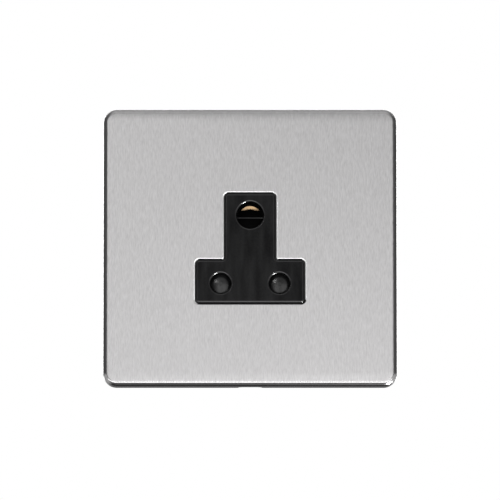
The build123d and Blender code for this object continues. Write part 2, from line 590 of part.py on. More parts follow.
# Base moulding: open box behind the frame with screw bosses, contact rests and terminal pockets
with BuildPart() as base_moulding:
    with BuildSketch(level(BASE_BACK)):
        RectangleRounded(BASE_W, BASE_H, BASE_CORNER_R)
    extrude(amount=WEB_BACK - BASE_BACK)
    fillet(base_moulding.faces().sort_by(Axis.Y)[-1].edges(), BASE_EDGE_R)
    with BuildSketch(level(BASE_FLOOR)):
        RectangleRounded(BASE_W - 2 * BASE_WALL, BASE_H - 2 * BASE_WALL, BASE_CORNER_R - BASE_WALL)
    extrude(amount=WEB_BACK - BASE_FLOOR, mode=Mode.SUBTRACT)
    with BuildSketch(level(ASSEMBLY_END - ASSEMBLY_BOSS_FLOOR)):
        with Locations(*ASSEMBLY_AT):
            Circle(ASSEMBLY_BOSS_R)
    extrude(amount=ASSEMBLY_GRIP + ASSEMBLY_BOSS_FLOOR)
    with BuildSketch(level(ASSEMBLY_END)):
        with Locations(*ASSEMBLY_AT):
            Circle(ASSEMBLY_R)
    extrude(amount=ASSEMBLY_GRIP, mode=Mode.SUBTRACT)
    with BuildSketch(level(BASE_FLOOR)):
        with Locations(*LIVE_AT):
            with GridLocations(2 * LIVE_REST_X, 0, 2, 1):
                Rectangle(REST_WALL, LIVE_REST_L)
        with Locations((0, EARTH_Z)):
            with GridLocations(2 * EARTH_REST_X, 0, 2, 1):
                Rectangle(REST_WALL, EARTH_REST_L)
    extrude(amount=STRIP_BACK - BASE_FLOOR)
    with BuildSketch(level(BASE_FLOOR)):
        with Locations(*TERMINAL_AT):
            Rectangle(BLOCK_POCKET + 2 * REST_WALL, BLOCK_POCKET + 2 * REST_WALL)
    extrude(amount=BLOCK_POCKET_LEVEL - BASE_FLOOR)
    with BuildSketch(level(BASE_FLOOR)):
        with Locations(*TERMINAL_AT):
            Rectangle(BLOCK_POCKET, BLOCK_POCKET)
    extrude(amount=STRIP_BACK - BASE_FLOOR, mode=Mode.SUBTRACT)
    with BuildSketch(level(BASE_FLOOR)):
        with Locations((0, BARRIER_TOP)):
            Rectangle(BARRIER, BARRIER_TOP + BASE_H / 2 - BASE_WALL, align=(Align.CENTER, Align.MAX))
    extrude(amount=BARRIER_LEVEL - BASE_FLOOR)
    with BuildSketch(level(BASE_BACK)):
        RectangleRounded(BASE_W - 2 * BACK_RIM, BASE_H - 2 * BACK_RIM, BACK_RECESS_R)
        with Locations(*TERMINAL_AT):
            Circle(SCREW_WELL_R + WELL_COLLAR, mode=Mode.SUBTRACT)
    extrude(amount=BACK_RECESS, mode=Mode.SUBTRACT)
    with BuildSketch(level(BASE_BACK)):
        with Locations(*TERMINAL_AT):
            Circle(SCREW_WELL_R)
    extrude(amount=BASE_FLOOR_T, mode=Mode.SUBTRACT)
    with BuildSketch(Plane.XY.offset(-BASE_H / 2)):
        with Locations((NEUTRAL_TERMINAL[0], -WIRE_LEVEL), (LINE_TERMINAL[0], -WIRE_LEVEL)):
            Circle(WIRE_ENTRY_R)
    extrude(amount=BASE_WALL, mode=Mode.SUBTRACT)
    with BuildSketch(Plane.XY.offset(BASE_H / 2)):
        with Locations((EARTH_TERMINAL[0], -WIRE_LEVEL)):
            Circle(WIRE_ENTRY_R)
    extrude(amount=-BASE_WALL, mode=Mode.SUBTRACT)
    wire_mouths = [base_moulding.faces().sort_by(Axis.Z)[i].inner_wires() for i in (0, -1)]
    chamfer([e for ws in wire_mouths for w in ws for e in w.edges()], WIRE_ENTRY_CHAMFER)
    with BuildSketch(level(WEB_BACK)):
        with Locations((0, STRAP_RISE - STRAP_T)):
            Rectangle(STRAP_W + 2 * STRAP_PLAY, BASE_H, align=(Align.CENTER, Align.MIN))
    extrude(amount=-STRAP_T - STRAP_PLAY, mode=Mode.SUBTRACT)
base_moulding.part.label = "base_moulding"
export_step(base_moulding.part, "parts/base_moulding.step")

# Line contact: strip on the base's rests, with a split sleeve that flares towards the pin
with BuildPart() as line_contact:
    with BuildSketch(level(STRIP_BACK)):
        with Locations((LIVE_X, LIVE_Z)):
            Circle(LIVE_STRIP_R)
        with Locations(LINE_TERMINAL):
            Circle(BLOCK / 2)
        make_hull()
    extrude(amount=STRIP_T)
    with BuildSketch(Plane.YZ.offset(LIVE_X)):
        with BuildLine():
            Polyline(
                (-STRIP_LEVEL, LIVE_Z + LIVE_BORE_R),
                (-LIVE_SLEEVE_END, LIVE_Z + LIVE_BORE_R),
                (-MOUTH_END, LIVE_Z + LIVE_BORE_R + MOUTH_FLARE),
                (-MOUTH_END, LIVE_Z + LIVE_SLEEVE_R + MOUTH_FLARE),
                (-LIVE_SLEEVE_END, LIVE_Z + LIVE_SLEEVE_R),
                (-STRIP_LEVEL, LIVE_Z + LIVE_SLEEVE_R),
                close=True,
            )
        make_face()
    revolve(axis=Axis((LIVE_X, 0, LIVE_Z), (0, 1, 0)))
    with BuildSketch(level(STRIP_BACK)):
        with Locations((LIVE_X, LIVE_Z)):
            Circle(LIVE_BORE_R)
        with Locations(LINE_TERMINAL):
            Circle(SPIGOT_R + SPIGOT_PLAY)
    extrude(amount=STRIP_T, mode=Mode.SUBTRACT)
    with BuildSketch(level(STRIP_LEVEL + SLIT_ROOT)):
        with Locations((LIVE_X, LIVE_Z)):
            Rectangle(CONTACT_SLIT, 2 * LIVE_STRIP_R)
    extrude(amount=MOUTH_END - STRIP_LEVEL - SLIT_ROOT, mode=Mode.SUBTRACT)
line_contact.part.label = "line_contact"
export_step(line_contact.part, "parts/line_contact.step")

# Neutral contact: the line contact's mirror image
with BuildPart() as neutral_contact:
    mirror(line_contact.part, about=Plane.YZ)
neutral_contact.part.label = "neutral_contact"
export_step(neutral_contact.part, "parts/neutral_contact.step")

# Earth contact: its sleeve points away from the pin, which passes the dished strip first
with BuildPart() as earth_contact:
    with BuildSketch(level(STRIP_BACK)):
        with Locations((0, EARTH_Z)):
            Circle(EARTH_STRIP_R)
        with Locations(EARTH_TERMINAL):
            Circle(BLOCK / 2)
        make_hull()
        with Locations((0, EARTH_Z)):
            Circle(EARTH_BORE_R, mode=Mode.SUBTRACT)
        with Locations(EARTH_TERMINAL):
            Circle(SPIGOT_R + SPIGOT_PLAY, mode=Mode.SUBTRACT)
    extrude(amount=STRIP_T)
    with BuildSketch(Plane.YZ):
        with BuildLine():
            Polyline(
                (-STRIP_LEVEL, EARTH_Z),
                (-STRIP_LEVEL, EARTH_Z + EARTH_DISH_R),
                (-STRIP_LEVEL + EARTH_DISH, EARTH_Z + EARTH_BORE_R),
                (-STRIP_LEVEL + EARTH_DISH, EARTH_Z),
                close=True,
            )
        make_face()
    revolve(axis=Axis((0, 0, EARTH_Z), (0, 1, 0)), mode=Mode.SUBTRACT)
    with BuildSketch(level(EARTH_SLEEVE_END)):
        with Locations((0, EARTH_Z)):
            Circle(EARTH_SLEEVE_R)
            Circle(EARTH_BORE_R, mode=Mode.SUBTRACT)
    extrude(amount=STRIP_BACK - EARTH_SLEEVE_END)
    with BuildSketch(level(EARTH_SLEEVE_END)):
        with Locations((0, EARTH_Z)):
            Rectangle(CONTACT_SLIT, 2 * EARTH_STRIP_R)
    extrude(amount=EARTH_SLEEVE_L - SLIT_ROOT, mode=Mode.SUBTRACT)
earth_contact.part.label = "earth_contact"
export_step(earth_contact.part, "parts/earth_contact.step")

# Contact springs: open steel rings around the split sleeves
with BuildPart() as line_contact_spring:
    with BuildSketch(level(LIVE_RING_LEVEL)):
        with Locations((LIVE_X, LIVE_Z)):
            Circle(LIVE_SLEEVE_R + RING_T)
            Circle(LIVE_SLEEVE_R, mode=Mode.SUBTRACT)
            Rectangle(2 * LIVE_STRIP_R, RING_GAP, align=(Align.MIN, Align.CENTER), mode=Mode.SUBTRACT)
    extrude(amount=RING_W)
line_contact_spring.part.label = "line_contact_spring"
export_step(line_contact_spring.part, "parts/line_contact_spring.step")

with BuildPart() as neutral_contact_spring:
    mirror(line_contact_spring.part, about=Plane.YZ)
neutral_contact_spring.part.label = "neutral_contact_spring"
export_step(neutral_contact_spring.part, "parts/neutral_contact_spring.step")

with BuildPart() as earth_contact_spring:
    with BuildSketch(level(EARTH_RING_LEVEL)):
        with Locations((0, EARTH_Z)):
            Circle(EARTH_SLEEVE_R + RING_T)
            Circle(EARTH_SLEEVE_R, mode=Mode.SUBTRACT)
            Rectangle(2 * EARTH_STRIP_R, RING_GAP, align=(Align.MIN, Align.CENTER), mode=Mode.SUBTRACT)
    extrude(amount=RING_W)
earth_contact_spring.part.label = "earth_contact_spring"
export_step(earth_contact_spring.part, "parts/earth_contact_spring.step")

# Line terminal: brass block with a wire bore, a tapped hole and a spigot swaged over the strip
with BuildPart() as line_terminal:
    with BuildSketch(level(BLOCK_BACK)):
        with Locations(LINE_TERMINAL):
            Rectangle(BLOCK, BLOCK)
    extrude(amount=BLOCK_D)
    chamfer(line_terminal.edges(), BLOCK_CHAMFER)
    with BuildSketch(level(STRIP_BACK)):
        with Locations(LINE_TERMINAL):
            Circle(SPIGOT_R)
    extrude(amount=STRIP_T)
    with BuildSketch(level(STRIP_LEVEL)):
        with Locations(LINE_TERMINAL):
            Circle(SPIGOT_HEAD_R)
    extrude(amount=SPIGOT_HEAD)
    with BuildSketch(Plane.XY.offset(LINE_TERMINAL[1] - BLOCK / 2)):
        with Locations((LINE_TERMINAL[0], -WIRE_LEVEL)):
            Circle(WIRE_BORE_R)
    extrude(amount=BLOCK, mode=Mode.SUBTRACT)
    with BuildSketch(level(BLOCK_BACK)):
        with Locations(LINE_TERMINAL):
            Circle(SCREW_R)
    extrude(amount=WIRE_LEVEL - BLOCK_BACK, mode=Mode.SUBTRACT)
line_terminal.part.label = "line_terminal"
export_step(line_terminal.part, "parts/line_terminal.step")

with BuildPart() as neutral_terminal:
    mirror(line_terminal.part, about=Plane.YZ)
neutral_terminal.part.label = "neutral_terminal"
export_step(neutral_terminal.part, "parts/neutral_terminal.step")

# Earth terminal: its longer spigot also holds the earth strap
with BuildPart() as earth_terminal:
    with BuildSketch(level(BLOCK_BACK)):
        with Locations(EARTH_TERMINAL):
            Rectangle(BLOCK, BLOCK)
    extrude(amount=BLOCK_D)
    chamfer(earth_terminal.edges(), BLOCK_CHAMFER)
    with BuildSketch(level(STRIP_BACK)):
        with Locations(EARTH_TERMINAL):
            Circle(SPIGOT_R)
    extrude(amount=STRIP_T + STRAP_T)
    with BuildSketch(level(STRIP_LEVEL + STRAP_T)):
        with Locations(EARTH_TERMINAL):
            Circle(SPIGOT_HEAD_R)
    extrude(amount=SPIGOT_HEAD)
    with BuildSketch(Plane.XY.offset(EARTH_TERMINAL[1] - BLOCK / 2)):
        with Locations((EARTH_TERMINAL[0], -WIRE_LEVEL)):
            Circle(WIRE_BORE_R)
    extrude(amount=BLOCK, mode=Mode.SUBTRACT)
    with BuildSketch(level(BLOCK_BACK)):
        with Locations(EARTH_TERMINAL):
            Circle(SCREW_R)
    extrude(amount=WIRE_LEVEL - BLOCK_BACK, mode=Mode.SUBTRACT)
earth_terminal.part.label = "earth_terminal"
export_step(earth_terminal.part, "parts/earth_terminal.step")

# Terminal screws: slotted heads in the wells of the base's back
with BuildPart() as terminal_screws:
    with BuildSketch(level(SCREW_HEAD_BACK)):
        with Locations(*TERMINAL_AT):
            Circle(SCREW_HEAD_R)
    extrude(amount=SCREW_HEAD_LEVEL - SCREW_HEAD_BACK)
    chamfer(terminal_screws.faces().group_by(Axis.Y)[-1].edges(), SCREW_HEAD_CHAMFER)
    with BuildSketch(level(SCREW_HEAD_LEVEL)):
        with Locations(*TERMINAL_AT):
            Circle(SCREW_R - SCREW_PLAY)
    extrude(amount=SCREW_END - SCREW_HEAD_LEVEL)
    with BuildSketch(level(SCREW_HEAD_BACK)):
        with Locations(*TERMINAL_AT):
            Rectangle(2 * SCREW_HEAD_R, SCREW_SLOT)
    extrude(amount=SCREW_SLOT_D, mode=Mode.SUBTRACT)
terminal_screws.part.label = "terminal_screws"
export_step(terminal_screws.part, "parts/terminal_screws.step")

# Assembly screws: countersunk, from the flange through the frame into the base
with BuildPart() as assembly_screws:
    with BuildSketch(level(FLANGE_LEVEL)):
        with Locations(*ASSEMBLY_AT):
            Circle(ASSEMBLY_HEAD_R)
    extrude(amount=ASSEMBLY_R - ASSEMBLY_HEAD_R, taper=45)
    with BuildSketch(level(ASSEMBLY_END)):
        with Locations(*ASSEMBLY_AT):
            Circle(ASSEMBLY_R)
    extrude(amount=FLANGE_LEVEL - ASSEMBLY_END)
    with BuildSketch(level(FLANGE_LEVEL)):
        with Locations(*ASSEMBLY_AT):
            Rectangle(ASSEMBLY_CROSS_L, ASSEMBLY_CROSS_W)
            Rectangle(ASSEMBLY_CROSS_W, ASSEMBLY_CROSS_L)
    extrude(amount=-ASSEMBLY_CROSS_D, mode=Mode.SUBTRACT)
assembly_screws.part.label = "assembly_screws"
export_step(assembly_screws.part, "parts/assembly_screws.step")

# Earth strap: from the earth terminal, along the base's wall and out under the frame's web
with BuildPart() as earth_strap:
    with BuildSketch(Plane.YZ.offset(-STRAP_W / 2)):
        with BuildLine():
            FilletPolyline(
                (-STRIP_LEVEL - STRAP_T / 2, STRAP_START),
                (-STRIP_LEVEL - STRAP_T / 2, STRAP_RISE - STRAP_T / 2),
                (-WEB_BACK + STRAP_T / 2, STRAP_RISE - STRAP_T / 2),
                (-WEB_BACK + STRAP_T / 2, STRAP_END),
                radius=STRAP_BEND_R,
            )
            offset(amount=STRAP_T / 2, side=Side.BOTH)
        make_face()
    extrude(amount=STRAP_W)
    with BuildSketch(level(STRIP_LEVEL)):
        with Locations(EARTH_TERMINAL):
            Circle(SPIGOT_R + SPIGOT_PLAY)
    extrude(amount=STRAP_T, mode=Mode.SUBTRACT)
    with BuildSketch(level(WEB_BACK)):
        with Locations((0, WEB_MIDDLE)):
            Circle(RIVET_R)
    extrude(amount=-STRAP_T, mode=Mode.SUBTRACT)
earth_strap.part.label = "earth_strap"
export_step(earth_strap.part, "parts/earth_strap.step")

# Strap rivet: joins the strap to the frame
with BuildPart() as strap_rivet:
    with BuildSketch(level(FRAME_LEVEL)):
        with Locations((0, WEB_MIDDLE)):
            Circle(RIVET_HEAD_R)
    extrude(amount=RIVET_HEAD)
    with BuildSketch(level(WEB_BACK - STRAP_T)):
        with Locations((0, WEB_MIDDLE)):
            Circle(RIVET_HEAD_R)
    extrude(amount=-RIVET_HEAD)
    fillet(strap_rivet.faces().sort_by(Axis.Y)[0].edges(), RIVET_HEAD / 2)
    fillet(strap_rivet.faces().sort_by(Axis.Y)[-1].edges(), RIVET_HEAD / 2)
    with BuildSketch(level(WEB_BACK - STRAP_T)):
        with Locations((0, WEB_MIDDLE)):
            Circle(RIVET_R)
    extrude(amount=FRAME_SHEET + STRAP_T)
strap_rivet.part.label = "strap_rivet"
export_step(strap_rivet.part, "parts/strap_rivet.step")
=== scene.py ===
"""Looks of the round pin wall socket: finishes, studio light and the photograph's camera."""
import json
import math

import bmesh
import bpy
import numpy as np
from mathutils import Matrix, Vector


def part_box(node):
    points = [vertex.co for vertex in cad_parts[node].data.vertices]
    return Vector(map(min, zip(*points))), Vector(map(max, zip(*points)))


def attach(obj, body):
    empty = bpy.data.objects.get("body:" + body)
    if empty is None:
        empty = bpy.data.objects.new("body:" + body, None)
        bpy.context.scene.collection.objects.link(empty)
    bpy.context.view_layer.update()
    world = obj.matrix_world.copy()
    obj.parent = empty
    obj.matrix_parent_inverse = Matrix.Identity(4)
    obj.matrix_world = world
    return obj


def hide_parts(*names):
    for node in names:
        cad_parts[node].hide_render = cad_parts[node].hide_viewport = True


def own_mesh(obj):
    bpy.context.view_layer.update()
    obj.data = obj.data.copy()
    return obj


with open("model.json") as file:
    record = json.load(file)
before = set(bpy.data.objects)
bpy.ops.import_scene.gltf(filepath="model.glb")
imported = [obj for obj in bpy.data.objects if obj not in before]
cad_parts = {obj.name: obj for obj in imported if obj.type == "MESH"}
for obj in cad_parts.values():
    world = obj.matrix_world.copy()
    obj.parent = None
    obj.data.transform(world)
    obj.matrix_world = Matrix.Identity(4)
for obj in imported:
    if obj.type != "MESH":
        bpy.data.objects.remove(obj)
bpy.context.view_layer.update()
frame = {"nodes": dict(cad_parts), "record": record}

NODES = frame["nodes"]
MOUNTS = {mount["name"]: mount["pos_m"] for mount in frame["record"]["mounts"]}

# Photograph: a long lens a little below the plate, with the plate just above the middle of the frame
PHOTO_PX = 500
PX_PER_M = 3093.0
PLATE_PX = (250.1, 247.0)
CAMERA_ELEVATION = math.radians(-7.0)
CAMERA_DISTANCE = 2.2
CAMERA_CLIP = 20.0
SENSOR_MM = 36.0

# Reach of the plate's middle, where its only edge is the punched aperture's
PUNCHED = 0.025

# Domed pads of the shutter: the y that their fronts lie ahead of, and the radii between which the front
# shading of their innermost faces fades out
PAD_FRONT = -0.0045
PAD_CORE = 0.0006
PAD_RING = 0.00072

# Soft fall of the plate's face towards its upper and lower rims, which fades out down the rolled edge:
# where it starts, how fast it steepens, the cuts that let the mesh bend, and the depth of the roll
FALL_START = 0.0405
FALL_CURVE = 18.0
FALL_CUTS = 9
FALL_STEP = 0.0004
CUT_SNAP = 1e-7
ROLL_DEPTH = 0.0016

# Stage: the floor, and the even light that matt surfaces get from behind
FLOOR_Z = -0.45
FLOOR_SIZE = 6.0
BACKDROP = 0.7


def set_inputs(node, **values):
    """Sets a node's unlinked sockets by name, with _ for a space."""
    for name, value in values.items():
        node.inputs[name.replace("_", " ")].default_value = value


def plug(tree, socket, value):
    """Sets a socket to a number, or links another socket to it."""
    if isinstance(value, (int, float)):
        socket.default_value = value
    else:
        tree.links.new(value, socket)


def math_node(tree, operation, *values):
    """One sum on sockets or numbers."""
    node = tree.nodes.new("ShaderNodeMath")
    node.operation = operation
    for socket, value in zip(node.inputs, values):
        plug(tree, socket, value)
    return node.outputs["Value"]


def mix_node(tree, factor, a, b):
    """a where factor is 0 and b where it is 1; each is a socket or a number."""
    node = tree.nodes.new("ShaderNodeMix")
    for name, value in (("Factor", factor), ("A", a), ("B", b)):
        plug(tree, node.inputs[name], value)
    return node.outputs["Result"]


def colour_ramp(tree, value, stops):
    """Colour along a ramp of (position, rgb) stops."""
    node = tree.nodes.new("ShaderNodeValToRGB")
    elements = node.color_ramp.elements
    while len(elements) < len(stops):
        elements.new(0.5)
    for element, (position, rgb) in zip(elements, stops):
        element.position = position
        element.color = (*rgb, 1.0)
    tree.links.new(value, node.inputs["Fac"])
    return node.outputs["Color"]


def grey_ramp(tree, value, *stops):
    """Grey along a ramp of (position, grey) stops."""
    return colour_ramp(tree, value, [(position, (grey, grey, grey)) for position, grey in stops])


class Finish:
    """One node material, with short calls for the nodes that its detail is made of."""

    def __init__(self, name):
        self.material = bpy.data.materials.new(name)
        self.material.use_nodes = True
        self.tree = self.material.node_tree
        self.nodes = self.tree.nodes
        self.links = self.tree.links
        self.shader = self.nodes["Principled BSDF"]
        self.place = self.nodes.new("ShaderNodeTexCoord").outputs["Object"]
        self.normal = self.nodes.new("ShaderNodeNewGeometry").outputs["Normal"]

    def constant(self, **values):
        """Numbers that are the same all over the surface, on the shader's own sockets."""
        set_inputs(self.shader, **values)

    def drive(self, socket, value):
        """Links a value to one of the shader's sockets."""
        self.links.new(value, self.shader.inputs[socket])

    def axes(self, vector):
        """The x, y and z of a vector."""
        split = self.nodes.new("ShaderNodeSeparateXYZ")
        self.links.new(vector, split.inputs["Vector"])
        return split.outputs

    def number(self, operation, *values):
        """One sum on sockets or numbers."""
        return math_node(self.tree, operation, *values)

    def mixed(self, factor, a, b):
        """a where factor is 0 and b where it is 1; each is a socket or a number."""
        return mix_node(self.tree, factor, a, b)

    def noise(self, cell, detail=3.0, roughness=0.55, seed=0.0):
        """Noise whose grains measure cell = (x, y, z) metres."""
        mapping = self.nodes.new("ShaderNodeMapping")
        mapping.inputs["Scale"].default_value = [1.0 / c for c in cell]
        mapping.inputs["Location"].default_value = (seed, seed * 1.7, seed * 2.3)
        texture = self.nodes.new("ShaderNodeTexNoise")
        set_inputs(texture, Scale=1.0, Detail=detail, Roughness=roughness)
        self.links.new(self.place, mapping.inputs["Vector"])
        self.links.new(mapping.outputs["Vector"], texture.inputs["Vector"])
        return texture.outputs["Fac"]

    def carry(self, value, start, end, low, high):
        """A value carried from the range start..end to low..high, and held at its ends."""
        span = self.nodes.new("ShaderNodeMapRange")
        set_inputs(span, From_Min=start, From_Max=end, To_Min=low, To_Max=high)
        self.links.new(value, span.inputs["Value"])
        return span.outputs["Result"]

    def spread(self, value, low, high):
        """A noise value carried to the range low..high."""
        return self.carry(value, 0.25, 0.75, low, high)

    def edges(self, start, full):
        """0 where the normal's y is below start, on the flat front, and 1 past full, on rounded rims."""
        return self.carry(self.axes(self.normal)["Y"], start, full, 0.0, 1.0)

    def within(self, reach):
        """1 nearer than reach to the part's middle in x and z, and 0 farther out."""
        place = self.axes(self.place)
        across = self.number("ABSOLUTE", place["X"])
        up = self.number("ABSOLUTE", place["Z"])
        return self.number("LESS_THAN", self.number("MAXIMUM", across, up), reach)

    def pad_cores(self):
        """1 at the middle of each pad's dome, which faces the front, and 0 past its innermost faces."""
        pad_x, _, pad_z = MOUNTS["line_pin"]
        place = self.axes(self.place)
        across = self.number("SUBTRACT", self.number("ABSOLUTE", place["X"]), pad_x)
        up = self.number("SUBTRACT", place["Z"], pad_z)
        square = self.number("MULTIPLY_ADD", across, across, self.number("MULTIPLY", up, up))
        core = self.carry(self.number("SQRT", square), PAD_CORE, PAD_RING, 1.0, 0.0)
        return self.number("MULTIPLY", core, self.number("LESS_THAN", place["Y"], PAD_FRONT))

    def colour(self, value, dark, light):
        """Base colour from dark to light by a noise value."""
        self.drive("Base Color", colour_ramp(self.tree, value, [(0.25, dark), (0.75, light)]))

    def tint(self, factor, rgb):
        """Carries the base colour to rgb where factor is 1."""
        mix = self.nodes.new("ShaderNodeMixRGB")
        base = self.shader.inputs["Base Color"].links[0].from_socket
        self.links.new(factor, mix.inputs["Fac"])
        self.links.new(base, mix.inputs["Color1"])
        mix.inputs["Color2"].default_value = (*rgb, 1.0)
        self.drive("Base Color", mix.outputs["Color"])

    def turn_front(self, factor):
        """Turns the shading to the front by factor."""
        front = self.nodes.new("ShaderNodeCombineXYZ")
        set_inputs(front, Y=-1.0)
        mix = self.nodes.new("ShaderNodeMixRGB")
        self.links.new(factor, mix.inputs["Fac"])
        self.links.new(self.normal, mix.inputs["Color1"])
        self.links.new(front.outputs["Vector"], mix.inputs["Color2"])
        unit = self.nodes.new("ShaderNodeVectorMath")
        unit.operation = "NORMALIZE"
        self.links.new(mix.outputs["Color"], unit.inputs[0])
        self.drive("Normal", unit.outputs["Vector"])

    def bump(self, value, height):
        """Relief of the given height in metres, on top of any turned shading before it."""
        bump = self.nodes.new("ShaderNodeBump")
        set_inputs(bump, Distance=height)
        self.links.new(value, bump.inputs["Height"])
        for link in self.shader.inputs["Normal"].links:
            self.links.new(link.from_socket, bump.inputs["Normal"])
        self.drive("Normal", bump.outputs["Normal"])

    def gloss_across(self, grain):
        """Stretches anisotropic gloss across the grain's direction; on end grain, along x."""
        across = self.nodes.new("ShaderNodeVectorMath")
        across.operation = "CROSS_PRODUCT"
        across.inputs[0].default_value = grain
        self.links.new(self.normal, across.inputs[1])
        tangent = self.nodes.new("ShaderNodeVectorMath")
        tangent.operation = "ADD"
        tangent.inputs[0].default_value = (0.1, 0.0, 0.0)
        self.links.new(across.outputs["Vector"], tangent.inputs[1])
        self.drive("Tangent", tangent.outputs["Vector"])


def satin_steel():
    """Stainless plate with fine upright brushing, smooth rims and a punched edge.

    The punched edge gets a painted highlight in its base colour, left out as painted shade where it looks up
    and not also to the right.
    """
    finish = Finish("satin_steel")
    hair = finish.noise(cell=(0.00018, 0.00018, 0.0014), detail=3.0)
    streak = finish.noise(cell=(0.00045, 0.00045, 0.0024), detail=2.0, seed=4.0)
    brushing = finish.mixed(0.5, hair, streak)
    finish.colour(brushing, dark=(0.475, 0.467, 0.470), light=(0.735, 0.727, 0.730))
    rim = finish.edges(start=-0.995, full=-0.95)
    facing = finish.axes(finish.normal)
    upward = finish.carry(facing["Z"], 0.02, 0.15, low=0.0, high=1.0)
    # Painted shade: where the punched edge looks up and not also to the right, its painted highlight is left
    # out
    shaded = finish.number("MULTIPLY", upward, finish.carry(facing["X"], 0.1, 0.4, low=1.0, high=0.0))
    punched = finish.number("MULTIPLY", rim, finish.within(PUNCHED))
    # Painted highlight: the punched edge's base colour is lightened, and its shading turned towards the
    # front
    painted_edge_highlight = finish.number("MULTIPLY", punched, finish.number("SUBTRACT", 1.0, shaded))
    finish.tint(painted_edge_highlight, (0.95, 0.95, 0.95))
    dulled = finish.carry(finish.number("ABSOLUTE", facing["X"]), 0.1, 0.4, low=0.25, high=0.78)
    finish.turn_front(finish.number("MULTIPLY", painted_edge_highlight, dulled))
    finish.drive("Roughness", finish.mixed(rim, finish.spread(hair, 0.29, 0.41), 0.16))
    finish.bump(finish.mixed(rim, hair, 0.5), height=0.000004)
    finish.gloss_across(grain=(0.0, 0.0, 1.0))
    finish.constant(Metallic=1.0, Anisotropic=0.5)
    return finish.material


def plain_steel(name, dark, light, cell, rough):
    """Plated or spring steel, lightly clouded."""
    finish = Finish(name)
    cloud = finish.noise((cell, cell, cell), detail=4.0)
    fine = finish.noise((cell / 12, cell / 12, cell / 12), detail=2.0, seed=3.0)
    finish.colour(finish.mixed(0.3, cloud, fine), dark, light)
    finish.drive("Roughness", finish.spread(cloud, rough - 0.06, rough + 0.06))
    finish.bump(fine, height=0.000006)
    finish.constant(Metallic=1.0)
    return finish.material


def black_plastic(name, dark, light, rough, gloss, polish, rim_rough, rim_gloss, domed=False):
    """Black moulding with a very fine spark texture and flow lines.

    Its rims are polished by the given share. Deep walls, and slopes that look up, have little gloss as
    painted shade for the dark gaps and holes beside them.
    Where it is domed, the middle of each pad is shaded as facing the front.
    """
    finish = Finish(name)
    spark = finish.noise(cell=(0.00024, 0.00024, 0.00024), detail=2.0)
    flow = finish.noise(cell=(0.003, 0.003, 0.016), detail=2.0, seed=6.0)
    cloud = finish.mixed(0.6, spark, flow)
    finish.colour(cloud, dark, light)
    rim = finish.number("MULTIPLY", finish.edges(start=-0.9995, full=-0.985), polish)
    flat_rough = finish.spread(cloud, rough - 0.05, rough + 0.05)
    finish.drive("Roughness", finish.mixed(rim, flat_rough, rim_rough))
    flat_gloss = finish.spread(cloud, gloss * 0.2, gloss * 1.8)
    shown_gloss = finish.mixed(rim, flat_gloss, rim_gloss)
    upward = finish.carry(finish.axes(finish.normal)["Z"], 0.35, 0.60, low=0.0, high=1.0)
    # Painted shade: deep walls and slopes that look up lose their gloss, so that gaps and holes look dark
    painted_gap_shade = finish.number("MAXIMUM", finish.edges(start=-0.62, full=-0.40), upward)
    finish.drive("Specular IOR Level", finish.mixed(painted_gap_shade, shown_gloss, rim_gloss * 0.1))
    if domed:
        finish.turn_front(finish.pad_cores())
    finish.bump(spark, height=0.000006)
    return finish.material


def base_plastic():
    """Matt pale moulding of the terminal box."""
    finish = Finish("base_moulding")
    spark = finish.noise(cell=(0.00035, 0.00035, 0.00035), detail=3.0)
    flow = finish.noise(cell=(0.012, 0.012, 0.012), detail=3.0, seed=2.0)
    finish.colour(finish.mixed(0.6, spark, flow), dark=(0.60, 0.59, 0.555), light=(0.70, 0.69, 0.655))
    finish.drive("Roughness", finish.spread(spark, 0.46, 0.60))
    finish.bump(spark, height=0.000015)
    finish.constant(Specular_IOR_Level=0.4)
    return finish.material


def brass(name, dark, light, rough):
    """Pressed or turned brass with a light tarnish."""
    finish = Finish(name)
    tarnish = finish.noise(cell=(0.003, 0.003, 0.003), detail=4.0, seed=1.0)
    rolled = finish.noise(cell=(0.0002, 0.0002, 0.002), detail=2.0, seed=5.0)
    finish.colour(finish.mixed(0.35, tarnish, rolled), dark, light)
    finish.drive("Roughness", finish.spread(tarnish, rough - 0.05, rough + 0.08))
    finish.bump(rolled, height=0.000003)
    finish.constant(Metallic=1.0)
    return finish.material


FINISHES = {
    "satin_steel": satin_steel(),
    "spring_steel": plain_steel(
        "spring_steel", dark=(0.34, 0.34, 0.35), light=(0.46, 0.46, 0.47), cell=0.002, rough=0.30
    ),
    "zinc_steel": plain_steel(
        "zinc_steel", dark=(0.52, 0.53, 0.55), light=(0.66, 0.67, 0.69), cell=0.005, rough=0.36
    ),
    "rivet_steel": plain_steel(
        "rivet_steel", dark=(0.48, 0.48, 0.50), light=(0.60, 0.60, 0.62), cell=0.001, rough=0.30
    ),
    "black_moulding": black_plastic(
        "black_moulding", dark=(0.004, 0.004, 0.0046), light=(0.008, 0.008, 0.0088),
        rough=0.36, gloss=0.18, polish=1.0, rim_rough=0.17, rim_gloss=1.0,
    ),
    "black_slide": black_plastic(
        "black_slide", dark=(0.006, 0.006, 0.0064), light=(0.011, 0.011, 0.0115),
        rough=0.17, gloss=0.45, polish=0.0, rim_rough=0.17, rim_gloss=0.45, domed=True,
    ),
    "base_moulding": base_plastic(),
    "brass": brass("brass", dark=(0.50, 0.34, 0.19), light=(0.64, 0.44, 0.26), rough=0.26),
    "brass_screw": brass("brass_screw", dark=(0.66, 0.48, 0.24), light=(0.78, 0.58, 0.31), rough=0.22),
}

for entry in frame["record"]["subparts"]:
    mesh = NODES[entry["node"]].data
    mesh.materials.clear()
    mesh.materials.append(FINISHES[entry["material_slot"]])


def stand_in(name, mesh, node):
    """A piece of the housing that is shown for a CAD node."""
    piece = bpy.data.objects.new(name, mesh)
    bpy.context.scene.collection.objects.link(piece)
    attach(piece, "housing")
    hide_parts(node)
    return piece


